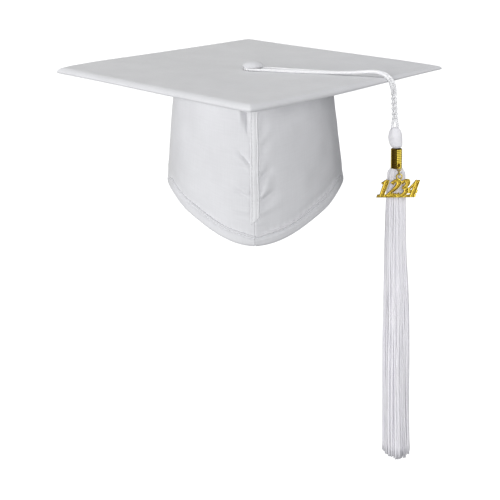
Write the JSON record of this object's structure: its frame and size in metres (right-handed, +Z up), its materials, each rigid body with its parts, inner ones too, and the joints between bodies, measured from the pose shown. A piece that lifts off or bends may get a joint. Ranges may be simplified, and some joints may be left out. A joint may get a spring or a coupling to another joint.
{
  "type": "graduation cap",
  "caption": "Soft pointed-front cap under a fabric-covered square board, with a covered button and a hanging tassel with a numeral charm.",
  "frame": {"origin": "centre of the head opening, level with the opening's side edges", "axes": "+Z up out of the board, -Y to the front point of the cap, +X to the wearer's left, where the tassel hangs; the board's corners point along X and Y"},
  "size_m": [0.3392, 0.3392, 0.3483],
  "materials": {
    "cap_fabric": "matte plain-weave polyester",
    "lining": "matte non-woven",
    "elastic": "ribbed knit elastic",
    "board": "grey board",
    "plastic": "moulded",
    "steel": "stamped",
    "cord": "twisted rayon cord",
    "thread": "silky rayon thread",
    "gilt": "polished gilt"
  },
  "bodies": {
    "cap": {"board_top_cover": "cap_fabric", "board_core": "board", "board_bottom_cover": "cap_fabric", "crown_panel_left": "cap_fabric", "crown_panel_right": "cap_fabric", "interlining_left": "lining", "interlining_right": "lining", "hem_band_left": "cap_fabric", "hem_band_right": "cap_fabric", "front_seam_welt": "cap_fabric", "back_seam_welt": "cap_fabric", "elastic_band": "elastic", "elastic_casing": "lining", "crown_top_flange": "lining", "button_cover": "cap_fabric", "button_core": "plastic", "button_shank": "plastic", "button_washer": "steel"},
    "tassel_loop": {"cord_loop": "cord"},
    "tassel_drop": {"cord_drop_left": "cord", "cord_drop_right": "cord"},
    "tassel": {"tassel_head": "thread", "tassel_head_core": "plastic", "ferrule": "gilt", "ferrule_eyelet": "gilt", "neck_tie": "thread", "fringe": "thread"},
    "charm_ring": {"jump_ring": "gilt"},
    "charm": {"charm": "gilt"}
  },
  "joints": [
    {"name": "tassel_turn", "type": "hinge", "parent": "cap", "child": "tassel_loop", "pos_m": [0, 0, 0.0991], "axis": [0, 0, 1], "range_deg": [-43, 0]},
    {"name": "tassel_swing", "type": "hinge", "parent": "tassel_loop", "child": "tassel_drop", "pos_m": [0.12059, -0.05244, 0.0965], "axis": [-0.3987, -0.9171, 0], "range_deg": [-10, 90]},
    {"name": "tassel_sway", "type": "hinge", "parent": "tassel_drop", "child": "tassel", "pos_m": [0.12316, -0.05355, 0.052], "axis": [0.9171, -0.3987, 0], "range_deg": [-35, 35]},
    {"name": "ring_swing", "type": "hinge", "parent": "tassel", "child": "charm_ring", "pos_m": [0.12506, -0.05955, 0.0184], "axis": [-1, 0, 0], "range_deg": [0, 40]},
    {"name": "charm_swing", "type": "hinge", "parent": "charm_ring", "child": "charm", "pos_m": [0.12506, -0.06155, 0.01492], "axis": [0, 1, 0], "range_deg": [-30, 30]}
  ]
}
